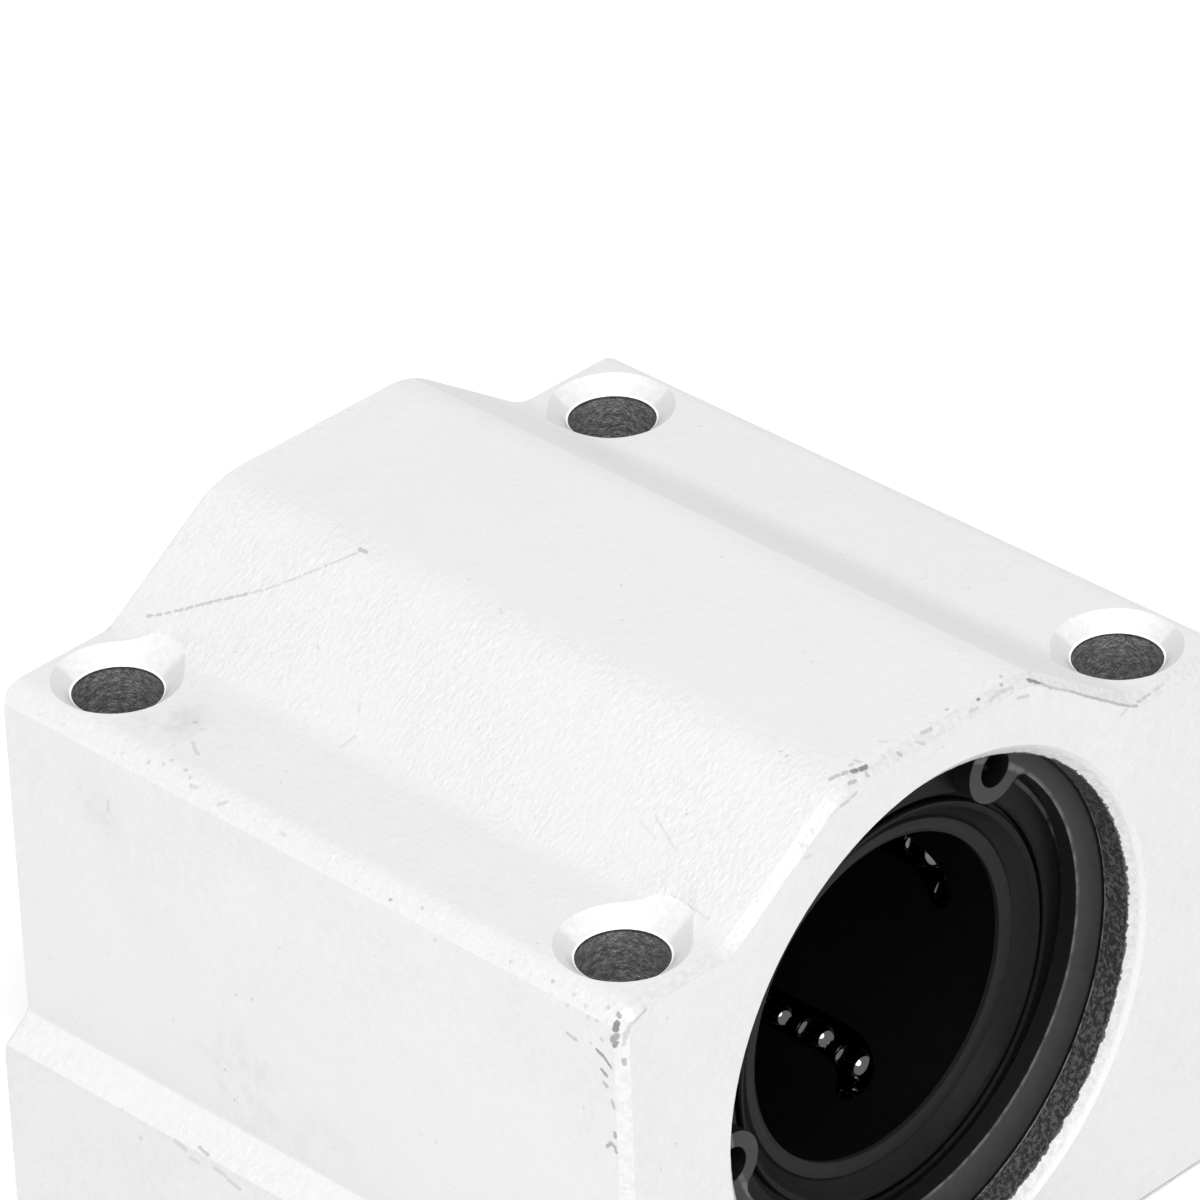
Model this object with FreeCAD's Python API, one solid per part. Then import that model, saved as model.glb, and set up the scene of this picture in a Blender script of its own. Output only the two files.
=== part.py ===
import FreeCAD, Part
import math
import os

# Linear bearing block: extruded aluminium housing with a ball bushing held by
# two internal retaining rings.  Millimetres.  X across the block, Y along the
# bore axis (the front face looks towards -Y), Z up from the mounting face.

V = FreeCAD.Vector

# ---------------------------------------------------------------- housing
BASE_W = 54.0            # width over the base flange
SIDE_W = 50.0            # width over the sides above the flange
LENGTH = 49.5            # length along the bore
HEIGHT = 41.0            # base to the flat top
SHOULDER_Z = 35.0        # height of the two screw shoulders
AXIS_Z = 21.0            # bore centre over the base
FLANGE_Z_OUT = 11.1      # flange height at its outer edge
FLANGE_Z_IN = 12.7       # flange height where it meets the side
SLOPE_FOOT_X = 16.55     # where the flank meets the shoulder
TOP_HALF_X = 7.6         # half width of the flat top, to the sharp corner
R_TOP = 5.5              # rounding between flank and flat top
R_FOOT = 3.0             # hollow between flank and shoulder
R_SHOULDER = 1.6         # rounding of the shoulders' outer edges
R_FLANGE_IN = 0.8        # hollow between flange and side
R_FLANGE_OUT = 0.9       # rounding of the flange's upper edge
R_BASE = 0.7             # rounding of the base edges
FACE_CHAMFER = 0.6       # milled edge break around both end faces

BORE_R = 16.0
ENTRY_R = 16.27           # bore in front of the retaining-ring groove
MOUTH_R = 17.08           # outer radius of the bore's mouth chamfer
MOUTH_DEPTH = 0.78
GROOVE_R = 16.85         # retaining-ring grooves
GROOVE_Y0 = 20.98
GROOVE_Y1 = 22.28

HOLE_X = 20.0            # half of the 40 x 40 screw pattern
HOLE_Y = 20.0
HOLE_R = 2.65             # through hole, lower part tapped M6
SINK_R = 3.8             # countersink on the shoulder
SINK_DEPTH = 0.95
BASE_SINK_R = 3.25       # lead-in of the tapped end
BASE_SINK_DEPTH = 0.7

# ---------------------------------------------------------------- bushing
BEARING_HALF = 21.0
SLEEVE_R = 15.99
SLEEVE_IN_R = 14.95      # relief for the returning balls
END_SEAT_R = 15.15       # seat of the stop rings
END_SEAT_Y = 19.92
SLEEVE_EDGE = 0.35       # end chamfer of the sleeve
LAND_R = 13.19           # raceway lands under the loaded rows
LAND_HALF_W = 1.35
LAND_HALF_L = 11.56

BALL_R = 1.5875          # 3.175 mm balls
SHAFT_R = 10.0
PITCH = 3.34             # distance between ball centres along the circuit
LOADED_N = 7             # balls in each straight row
TURN_N = 3               # balls in each turn
CIRCUITS = 5
ROW_ANGLE_0 = 10.0       # angle of the first loaded row, from +X towards +Z
ROW_R = SHAFT_R + BALL_R
TURN_R = TURN_N * PITCH / math.pi
STRAIGHT_HALF = LOADED_N * PITCH / 2.0
CHANNEL_R = 1.69

CAGE_IN_R = 10.4
CAGE_OUT_R = 14.85
CAGE_HALF = 19.45
NOTCH_HALF_W = 1.6
NOTCH_R = 13.0
NOTCH_HALF_L = 11.81

STOP_OUT_R = 15.13
STOP_IN_R = 12.65
STOP_Y0 = 19.95
STOP_Y1 = 20.98

LIP_R = 10.03
LIP_Y = 19.85             # front edge of the seal lip
SEAL_BACK_Y = 19.55
SEAL_OUT_R = 12.35
SEAL_FOOT_R = 12.62

# ------------------------------------------------------- retaining rings
RING_T = 1.2
RING_Y0 = 21.02          # inner face
RING_OUT_R = 16.8
RING_IN_R = 14.3         # eccentric inner contour
RING_ECC = 1.15
RING_GAP_ANGLE = 125.4   # middle of the gap
RING_ECC_ANGLE = 107.0   # direction in which the inner contour is offset
LUG_HALF_ANGLE = 65.2
LUG_HOLE_RAD = 14.69     # distance of the plier holes from the axis
LUG_HOLE_R = 1.15
LUG_R = 2.1
LUG_FILLET = 0.8


def save(shape, name):
    shape.exportStep("parts/%s.step" % name)
    print(name, "solids", len(shape.Solids), "volume", round(shape.Volume, 3),
          "valid", shape.isValid())


def rounded_wire(points):
    """Closed wire in the XZ plane; points are (x, z, corner radius)."""
    n = len(points)
    starts, ends, mids = [], [], []
    for i in range(n):
        px, pz, r = points[i]
        a = V(points[i - 1][0], 0, points[i - 1][1])
        b = V(px, 0, pz)
        c = V(points[(i + 1) % n][0], 0, points[(i + 1) % n][1])
        u = (a - b)
        u.normalize()
        w = (c - b)
        w.normalize()
        if r <= 0:
            starts.append(b)
            ends.append(b)
            mids.append(None)
            continue
        ang = math.acos(max(-1.0, min(1.0, u.dot(w))))
        d = r / math.tan(ang / 2.0)
        bis = u + w
        bis.normalize()
        centre = b + bis * (r / math.sin(ang / 2.0))
        starts.append(b + u * d)
        ends.append(b + w * d)
        mids.append(centre - bis * r)
    edges = []
    for i in range(n):
        if mids[i] is not None:
            edges.append(Part.Arc(starts[i], mids[i], ends[i]).toShape())
        j = (i + 1) % n
        if (starts[j] - ends[i]).Length > 1e-6:
            edges.append(Part.makeLine(ends[i], starts[j]))
    return Part.Wire(edges)


def revolve(points):
    """Solid of revolution about the bore axis; points are (radius, y)."""
    pts = [V(r, y, AXIS_Z) for r, y in points]
    pts.append(pts[0])
    face = Part.Face(Part.makePolygon(pts))
    return face.revolve(V(0, 0, AXIS_Z), V(0, 1, 0), 360)


def tube(r0, r1, y0, y1):
    c = Part.makeCylinder(r1, y1 - y0, V(0, y0, AXIS_Z), V(0, 1, 0))
    if r0 > 0:
        c = c.cut(Part.makeCylinder(r0, y1 - y0 + 2, V(0, y0 - 1, AXIS_Z), V(0, 1, 0)))
    return c


def front_only(shape):
    """The same shape turned half a turn about Z: rear piece to match a front one."""
    s = shape.copy()
    s.rotate(V(0, 0, 0), V(0, 0, 1), 180)
    return s


def one(shape):
    if len(shape.Solids) == 1:
        return shape.Solids[0]
    return shape


# ------------------------------------------------------------- building
def housing():
    hb, hs, L = BASE_W / 2, SIDE_W / 2, LENGTH
    half = [
        (hb, 0.0, R_BASE),
        (hb, FLANGE_Z_OUT, R_FLANGE_OUT),
        (hs, FLANGE_Z_IN, R_FLANGE_IN),
        (hs, SHOULDER_Z, R_SHOULDER),
        (SLOPE_FOOT_X, SHOULDER_Z, R_FOOT),
        (TOP_HALF_X, HEIGHT, R_TOP),
    ]
    pts = half + [(-x, z, r) for x, z, r in reversed(half)]
    wire = rounded_wire(pts)
    body = Part.Face(wire).extrude(V(0, L, 0))
    body.translate(V(0, -L / 2, 0))
    rim = []
    for e in body.Edges:
        b = e.BoundBox
        if b.YMax - b.YMin < 1e-6 and abs(abs(b.YMin) - L / 2) < 1e-6:
            rim.append(e)
    body = body.makeChamfer(FACE_CHAMFER, rim)

    e = 1.0
    k = (MOUTH_R - ENTRY_R) / MOUTH_DEPTH
    yf = L / 2
    bore = revolve([
        (0, -yf - e), (MOUTH_R + k * e, -yf - e), (ENTRY_R, -yf + MOUTH_DEPTH),
        (ENTRY_R, -GROOVE_Y1), (GROOVE_R, -GROOVE_Y1), (GROOVE_R, -GROOVE_Y0),
        (BORE_R, -GROOVE_Y0), (BORE_R, GROOVE_Y0), (GROOVE_R, GROOVE_Y0),
        (GROOVE_R, GROOVE_Y1), (ENTRY_R, GROOVE_Y1), (ENTRY_R, yf - MOUTH_DEPTH),
        (MOUTH_R + k * e, yf + e), (0, yf + e)])
    body = body.cut(bore)
    ks = (SINK_R - HOLE_R) / SINK_DEPTH
    kb = (BASE_SINK_R - HOLE_R) / BASE_SINK_DEPTH
    top_e = 1.5
    for sx in (-1, 1):
        for sy in (-1, 1):
            x, y = sx * HOLE_X, sy * HOLE_Y
            body = body.cut(Part.makeCylinder(HOLE_R, HEIGHT + 2, V(x, y, -1)))
            body = body.cut(Part.makeCone(
                HOLE_R, SINK_R + ks * top_e, SINK_DEPTH + top_e,
                V(x, y, SHOULDER_Z - SINK_DEPTH)))
            body = body.cut(Part.makeCone(
                BASE_SINK_R + kb * 0.5, HOLE_R, BASE_SINK_DEPTH + 0.5, V(x, y, -0.5)))
    return one(body)


def retaining_ring():
    """Front ring, with two lugs and plier holes either side of its gap."""
    y0 = -(RING_Y0 + RING_T)
    g = math.radians(RING_GAP_ANGLE)
    e = math.radians(RING_ECC_ANGLE)
    outer = Part.makeCylinder(RING_OUT_R, RING_T, V(0, y0, AXIS_Z), V(0, 1, 0))
    inner = Part.makeCylinder(
        RING_IN_R, RING_T + 2,
        V(RING_ECC * math.cos(e), y0 - 1, AXIS_Z + RING_ECC * math.sin(e)), V(0, 1, 0))
    ring = outer.cut(inner)
    lugs = []
    holes = []
    for s in (-1, 1):
        a = g + s * math.radians(LUG_HALF_ANGLE)
        c = V(LUG_HOLE_RAD * math.cos(a), y0, AXIS_Z + LUG_HOLE_RAD * math.sin(a))
        lugs.append(Part.makeCylinder(LUG_R, RING_T, c, V(0, 1, 0)))
        holes.append(Part.makeCylinder(LUG_HOLE_R, RING_T + 2,
                                       V(c.x, y0 - 1, c.z), V(0, 1, 0)))
    # gap: everything between the lugs' outer tangents
    a1 = g - math.radians(LUG_HALF_ANGLE)
    a2 = g + math.radians(LUG_HALF_ANGLE)
    def tangent(a, s):
        ux, uz = math.cos(a), math.sin(a)
        tx, tz = -uz * s, ux * s
        p = V(tx * LUG_R, y0 - 1, AXIS_Z + tz * LUG_R)
        q = V(tx * LUG_R + ux * 30, y0 - 1, AXIS_Z + tz * LUG_R + uz * 30)
        return p, q
    p1, q1 = tangent(a1, 1)
    p2, q2 = tangent(a2, -1)
    far = V(60 * math.cos(g), y0 - 1, AXIS_Z + 60 * math.sin(g))
    # start the wedge near the axis where both tangents meet
    m = LUG_R / math.sin(math.radians(LUG_HALF_ANGLE))
    apex = V(m * math.cos(g), y0 - 1, AXIS_Z + m * math.sin(g))
    wedge = Part.Face(Part.makePolygon([apex, q1, far, q2, apex])).extrude(V(0, RING_T + 2, 0))
    ring = ring.cut(wedge)
    for l in lugs:
        ring = ring.fuse(l.common(outer))
    ring = ring.removeSplitter()
    # hollow where each lug runs into the ring
    pick = []
    for e in ring.Edges:
        b = e.BoundBox
        if b.XMax - b.XMin > 1e-5 or b.ZMax - b.ZMin > 1e-5:
            continue
        x, z = b.XMin, b.ZMin - AXIS_Z
        r = math.hypot(x, z)
        a = math.degrees(math.atan2(z, x))
        off = abs((a - RING_GAP_ANGLE + 180) % 360 - 180)
        if r < RING_OUT_R - 0.5 and off > LUG_HALF_ANGLE:
            pick.append(e)
    ring = ring.makeFillet(LUG_FILLET, pick)
    for h in holes:
        ring = ring.cut(h)
    return one(ring)


def frame_of(k):
    """Radial and tangential directions of circuit k (k from 0)."""
    a = math.radians(ROW_ANGLE_0 + 360.0 / CIRCUITS * k)
    radial = V(math.cos(a), 0, math.sin(a))
    tang = V(math.sin(a), 0, -math.cos(a))
    return radial, tang


def at(radial, tang, u, y):
    """Point of the circuit plane: u across the circuit, y along the bore."""
    return V(0, y, AXIS_Z) + radial * ROW_R + tang * u


def sleeve():
    h, c = BEARING_HALF, SLEEVE_EDGE
    s = revolve([
        (SLEEVE_R - c, -h), (SLEEVE_R, -h + c), (SLEEVE_R, h - c), (SLEEVE_R - c, h),
        (END_SEAT_R, h), (END_SEAT_R, END_SEAT_Y), (SLEEVE_IN_R, END_SEAT_Y),
        (SLEEVE_IN_R, -END_SEAT_Y), (END_SEAT_R, -END_SEAT_Y), (END_SEAT_R, -h)])
    bar = tube(LAND_R, SLEEVE_IN_R + 0.4, -LAND_HALF_L, LAND_HALF_L)
    for k in range(CIRCUITS):
        radial, tang = frame_of(k)
        o = V(0, -LAND_HALF_L, AXIS_Z) + radial * 12.0 - tang * LAND_HALF_W
        p = [o, o + tang * (2 * LAND_HALF_W), o + tang * (2 * LAND_HALF_W) + radial * 4.0,
             o + radial * 4.0, o]
        box = Part.Face(Part.makePolygon(p)).extrude(V(0, 2 * LAND_HALF_L, 0))
        s = s.fuse(bar.common(box))
    return one(s.removeSplitter())


def channel(k):
    """Room for the balls of circuit k: a round track with two straights and two turns."""
    radial, tang = frame_of(k)
    d = 2 * TURN_R
    row = Part.makeCylinder(CHANNEL_R, 2 * STRAIGHT_HALF,
                            at(radial, tang, 0, -STRAIGHT_HALF), V(0, 1, 0))
    back = Part.makeCylinder(CHANNEL_R, 2 * STRAIGHT_HALF,
                             at(radial, tang, d, -STRAIGHT_HALF), V(0, 1, 0))
    out = [row, back]
    for s in (-1, 1):
        centre = at(radial, tang, TURN_R, s * STRAIGHT_HALF)
        circ = Part.Wire([Part.Circle(at(radial, tang, 0, s * STRAIGHT_HALF),
                                      V(0, 1, 0), CHANNEL_R).toShape()])
        ang = 180.0
        turn = Part.Face(circ).revolve(centre, radial * s, ang)
        if (turn.CenterOfMass - centre).y * s < 0:
            turn = Part.Face(circ).revolve(centre, radial * (-s), ang)
        out.append(turn)
    return out


def cage():
    c = tube(CAGE_IN_R, CAGE_OUT_R, -CAGE_HALF, CAGE_HALF)
    for k in range(CIRCUITS):
        radial, tang = frame_of(k)
        o = V(0, -NOTCH_HALF_L, AXIS_Z) + radial * NOTCH_R - tang * NOTCH_HALF_W
        p = [o, o + tang * (2 * NOTCH_HALF_W), o + tang * (2 * NOTCH_HALF_W) + radial * 4.0,
             o + radial * 4.0, o]
        c = c.cut(Part.Face(Part.makePolygon(p)).extrude(V(0, 2 * NOTCH_HALF_L, 0)))
        for t in channel(k):
            c = c.cut(t)
    big = max(c.Solids, key=lambda s: s.Volume)
    return big


def stop_ring():
    c = 0.15
    return revolve([
        (STOP_IN_R, -STOP_Y1 + c), (STOP_IN_R + c, -STOP_Y1), (STOP_OUT_R - c, -STOP_Y1),
        (STOP_OUT_R, -STOP_Y1 + c), (STOP_OUT_R, -STOP_Y0), (STOP_IN_R, -STOP_Y0)])


def seal():
    """Wiper ring: flat rim, funnel and a narrow lip round the shaft."""
    return revolve([
        (LIP_R, -LIP_Y), (10.3, -LIP_Y - 0.17), (10.9, -LIP_Y - 0.17), (11.05, -LIP_Y),
        (11.9, -20.82), (12.1, -20.95), (SEAL_OUT_R - 0.1, -20.95), (SEAL_OUT_R, -20.85),
        (SEAL_OUT_R, -20.4), (SEAL_FOOT_R, -20.4), (SEAL_FOOT_R, -SEAL_BACK_Y),
        (LIP_R, -SEAL_BACK_Y)])


def balls(points):
    return Part.makeCompound([Part.makeSphere(BALL_R, p) for p in points])


os.makedirs("parts", exist_ok=True)

save(housing(), "housing")
ring = retaining_ring()
save(ring, "front_retaining_ring")
save(front_only(ring), "rear_retaining_ring")
save(sleeve(), "bearing_sleeve")
save(cage(), "ball_retainer")
stop = stop_ring()
save(stop, "front_stop_ring")
save(front_only(stop), "rear_stop_ring")
wiper = seal()
save(wiper, "front_seal")
save(front_only(wiper), "rear_seal")

for k in range(CIRCUITS):
    radial, tang = frame_of(k)
    n = k + 1
    ys = [(i - (LOADED_N - 1) / 2.0) * PITCH for i in range(LOADED_N)]
    save(balls([at(radial, tang, 0, y) for y in ys]), "circuit%d_loaded_balls" % n)
    save(balls([at(radial, tang, 2 * TURN_R, y) for y in ys]), "circuit%d_return_balls" % n)
    for s, side in ((-1, "front"), (1, "rear")):
        pts = []
        for i in range(TURN_N):
            a = math.radians(180.0 / TURN_N * (i + 0.5))
            pts.append(at(radial, tang, TURN_R - TURN_R * math.cos(a),
                          s * (STRAIGHT_HALF + TURN_R * math.sin(a))))
        save(balls(pts), "circuit%d_%s_turn_balls" % (n, side))
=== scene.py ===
import math

import bmesh
import bpy
from mathutils import Matrix, Vector


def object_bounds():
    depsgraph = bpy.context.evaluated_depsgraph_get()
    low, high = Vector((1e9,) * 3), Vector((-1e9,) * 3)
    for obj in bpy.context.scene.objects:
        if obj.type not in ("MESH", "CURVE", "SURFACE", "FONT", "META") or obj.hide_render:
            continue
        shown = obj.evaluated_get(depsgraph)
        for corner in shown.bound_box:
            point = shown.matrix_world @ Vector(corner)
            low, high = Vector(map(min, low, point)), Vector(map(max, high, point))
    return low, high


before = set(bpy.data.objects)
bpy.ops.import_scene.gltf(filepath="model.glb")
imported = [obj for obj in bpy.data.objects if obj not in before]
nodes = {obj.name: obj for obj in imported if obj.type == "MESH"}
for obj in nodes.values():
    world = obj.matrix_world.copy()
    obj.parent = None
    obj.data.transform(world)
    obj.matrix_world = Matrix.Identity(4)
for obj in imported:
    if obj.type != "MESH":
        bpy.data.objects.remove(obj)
cad_box = [list(v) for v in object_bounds()]
scene = bpy.context.scene

MM = 0.001
AXIS_Z = 0.021
HALF_L = (cad_box[1][1] - cad_box[0][1]) / 2
GROOVE_FRONT = 0.02228
MOUTH_IN, MOUTH_OUT, MOUTH_DEPTH = 0.01627, 0.01708, 0.00078
HOLE_R, SINK_FOOT = 0.00265, 0.03405
RING_ECC, RING_ECC_ANGLE, RING_FACE = 0.00115, 107.0, 0.02222

# ---------------------------------------------------------------- camera
cam_data = bpy.data.cameras.new("camera")
cam = bpy.data.objects.new("camera", cam_data)
scene.collection.objects.link(cam)
cam_data.sensor_fit = "HORIZONTAL"
cam_data.sensor_width = 36.0
cam_data.lens = 266.82
cam_data.clip_start = 0.02
cam_data.clip_end = 20.0
CAM_R = Matrix(((0.70026002, 0.39795632, -0.59267755),
                (-0.71308655, 0.35059585, -0.60711624),
                (-0.03381546, 0.84776961, 0.52928556)))
cam.matrix_world = Matrix.Translation(Vector((-0.2970971, -0.3031756, 0.3038888))) @ CAM_R.to_4x4()
scene.camera = cam

scene.view_settings.view_transform = "Standard"
scene.view_settings.look = "None"

# ---------------------------------------------------------------- handling marks
# Dents, nicks and scratches on the housing, millimetres in the part's frame:
# (start, end or None for a single spot, half width, soft border, depth of tone)
TOP_MARKS = [
    ((-8.43, 13.08, 40.39), (-7.87, 12.66, 40.64), 0.03, 0.08, 0.21),
    ((-7.55, 12.66, 40.75), (-7.55, 12.18, 40.75), 0.08, 0.11, 0.34),
    ((3.8, -24.27, 40.88), None, 0.08, 0.09, 0.72),
    ((1.78, -23.75, 41.0), None, 0.08, 0.09, 0.36),
    ((6.24, -23.71, 40.98), None, 0.08, 0.09, 0.32),
    ((5.72, -24.23, 40.92), None, 0.08, 0.09, 0.38),
    ((-7.14, -19.7, 40.86), None, 0.06, 0.09, 0.18),
    ((-7.25, -20.26, 40.83), None, 0.06, 0.09, 0.18),
    ((-6.89, 2.04, 40.91), (-7.19, 1.74, 40.85), 0.07, 0.09, 0.10),
    ((-7.32, -23.57, 40.82), (-6.85, -23.73, 40.92), 0.08, 0.11, 0.32),
    ((-6.64, -23.89, 40.95), (-6.41, -23.91, 40.98), 0.10, 0.11, 0.36),
    ((-6.14, -24.1, 40.99), (-5.91, -24.18, 40.97), 0.11, 0.11, 0.72),
    ((-5.58, -24.24, 40.91), (-5.22, -24.28, 40.87), 0.10, 0.11, 0.72),
    ((-5.25, -23.49, 41.0), (-5.22, -23.83, 41.0), 0.07, 0.11, 0.23),
    ((-6.69, -24.45, 40.63), (-6.35, -24.51, 40.62), 0.08, 0.09, 0.36),
    ((-5.44, -24.47, 40.68), (-5.43, -24.61, 40.54), 0.06, 0.09, 0.32),
    ((-2.87, -24.45, 40.7), (-2.76, -24.57, 40.58), 0.07, 0.09, 0.34),
    ((-0.74, -24.26, 40.89), (-0.07, -24.31, 40.84), 0.06, 0.09, 0.27),
    ((-1.36, -24.46, 40.69), (-1.03, -24.66, 40.49), 0.06, 0.09, 0.23),
    ((-2.97, -23.21, 41.0), (-2.82, -23.52, 41.0), 0.06, 0.11, 0.14),
    ((-5.86, -23.69, 41.0), (-5.65, -23.64, 41.0), 0.07, 0.09, 0.23),
    ((5.35, -24.45, 40.7), (6.22, -24.55, 40.58), 0.06, 0.11, 0.19),
    ((4.46, -24.52, 40.63), (5.12, -24.51, 40.64), 0.05, 0.11, 0.19),
    ((7.62, -24.46, 40.4), (8.44, -24.61, 39.87), 0.07, 0.09, 0.68),
    ((2.88, -24.49, 40.66), (3.46, -24.54, 40.61), 0.05, 0.11, 0.19),
]
FLANK_MARKS = [
    ((-15.28, 22.47, 35.85), (-15.15, 22.19, 35.94), 0.05, 0.08, 0.32),
    ((-15.04, 21.96, 36.02), (-14.88, 21.7, 36.12), 0.05, 0.08, 0.32),
    ((-14.77, 21.48, 36.19), (-14.6, 21.24, 36.31), 0.05, 0.08, 0.32),
    ((-14.44, 20.98, 36.41), (-14.22, 20.62, 36.56), 0.05, 0.08, 0.32),
    ((-14.09, 20.42, 36.65), (-13.89, 20.12, 36.78), 0.05, 0.08, 0.32),
    ((-13.76, 19.92, 36.87), (-13.52, 19.58, 37.03), 0.05, 0.08, 0.32),
    ((-13.43, 19.42, 37.09), (-13.24, 19.12, 37.22), 0.05, 0.08, 0.32),
    ((-13.13, 18.98, 37.29), (-12.93, 18.68, 37.43), 0.05, 0.08, 0.32),
    ((-12.82, 18.46, 37.5), (-12.56, 18.06, 37.67), 0.05, 0.08, 0.32),
    ((-12.43, 17.87, 37.76), (-12.15, 17.41, 37.95), 0.05, 0.08, 0.32),
    ((-12.02, 17.21, 38.04), (-11.62, 16.61, 38.3), 0.03, 0.08, 0.21),
    ((-11.49, 16.41, 38.39), (-10.97, 15.78, 38.74), 0.03, 0.08, 0.21),
    ((-10.78, 15.57, 38.87), (-10.19, 14.92, 39.26), 0.03, 0.08, 0.21),
    ((-10.04, 14.75, 39.36), (-9.41, 14.06, 39.79), 0.03, 0.08, 0.21),
    ((-9.22, 13.85, 39.92), (-8.62, 13.22, 40.29), 0.03, 0.08, 0.21),
    ((-8.43, 13.08, 40.39), (-7.87, 12.66, 40.64), 0.03, 0.08, 0.21),
    ((-7.55, 12.66, 40.75), (-7.55, 12.18, 40.75), 0.08, 0.11, 0.34),
    ((-7.14, -19.7, 40.86), None, 0.06, 0.09, 0.18),
    ((-7.25, -20.26, 40.83), None, 0.06, 0.09, 0.18),
    ((-16.79, 24.06, 35.08), None, 0.11, 0.09, 0.14),
    ((-14.31, 6.0, 36.5), (-14.74, 5.75, 36.21), 0.04, 0.09, 0.10),
    ((-16.71, 5.16, 35.1), (-16.11, 5.04, 35.32), 0.04, 0.09, 0.15),
    ((-16.11, 5.04, 35.32), (-15.82, 4.93, 35.49), 0.04, 0.09, 0.15),
    ((-6.89, 2.04, 40.91), (-7.19, 1.74, 40.85), 0.07, 0.09, 0.10),
    ((-12.69, -15.45, 37.59), (-13.1, -16.45, 37.31), 0.03, 0.09, 0.12),
    ((-13.1, -16.45, 37.31), (-13.71, -17.93, 36.9), 0.03, 0.09, 0.12),
    ((-15.62, -19.49, 35.49), (-15.68, -20.9, 35.5), 0.04, 0.11, 0.12),
    ((-15.68, -20.9, 35.5), (-15.82, -22.46, 35.49), 0.04, 0.11, 0.12),
    ((-13.21, -14.81, 37.24), (-13.64, -16.35, 36.95), 0.03, 0.09, 0.07),
    ((-7.32, -23.57, 40.82), (-6.85, -23.73, 40.92), 0.08, 0.11, 0.32),
    ((-6.64, -23.89, 40.95), (-6.41, -23.91, 40.98), 0.10, 0.11, 0.36),
    ((-6.69, -24.45, 40.63), (-6.35, -24.51, 40.62), 0.08, 0.09, 0.36),
    ((-9.74, -24.47, 39.18), (-9.73, -24.68, 38.94), 0.05, 0.09, 0.12),
]
SHOULDER_MARKS = [
    ((-24.74, -6.94, 34.27), None, 0.08, 0.09, 0.41),
    ((-24.46, -9.16, 34.59), None, 0.07, 0.09, 0.27),
    ((-24.67, -16.11, 34.37), None, 0.07, 0.09, 0.23),
    ((-24.6, -19.23, 34.46), None, 0.08, 0.09, 0.32),
    ((-16.79, 24.06, 35.08), None, 0.11, 0.09, 0.14),
    ((-24.65, -20.86, 34.39), None, 0.08, 0.09, 0.20),
    ((-24.8, -21.9, 34.16), None, 0.11, 0.09, 0.16),
    ((-24.48, -23.31, 34.58), None, 0.08, 0.09, 0.23),
    ((-24.44, 12.66, 34.62), None, 0.08, 0.09, 0.23),
    ((-23.78, 11.45, 34.95), None, 0.08, 0.09, 0.23),
    ((-23.92, 10.17, 34.91), None, 0.09, 0.09, 0.27),
    ((-20.25, 13.24, 35.0), None, 0.11, 0.09, 0.32),
    ((-21.17, 13.65, 35.0), None, 0.08, 0.09, 0.18),
    ((-20.49, 12.42, 35.0), None, 0.08, 0.09, 0.18),
    ((-24.19, 11.68, 34.79), None, 0.08, 0.09, 0.18),
    ((-24.16, 9.6, 34.81), None, 0.08, 0.09, 0.20),
    ((-21.75, 11.85, 35.0), (-22.13, 11.36, 35.0), 0.07, 0.09, 0.19),
    ((-22.13, 11.36, 35.0), (-22.41, 10.74, 35.0), 0.07, 0.09, 0.19),
    ((-24.46, 9.25, 34.59), (-24.42, 8.64, 34.63), 0.06, 0.09, 0.17),
    ((-24.61, 6.84, 34.45), (-24.36, 6.36, 34.67), 0.08, 0.09, 0.20),
    ((-24.46, 1.95, 34.6), (-24.45, 1.63, 34.61), 0.06, 0.09, 0.14),
    ((-16.71, 5.16, 35.1), (-16.11, 5.04, 35.32), 0.04, 0.09, 0.15),
    ((-16.11, 5.04, 35.32), (-15.82, 4.93, 35.49), 0.04, 0.09, 0.15),
    ((-24.53, -24.08, 34.52), (-24.54, -24.23, 34.4), 0.08, 0.09, 0.50),
    ((-24.91, -24.2, 33.74), (-24.77, -24.22, 34.06), 0.14, 0.09, 0.72),
]
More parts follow.
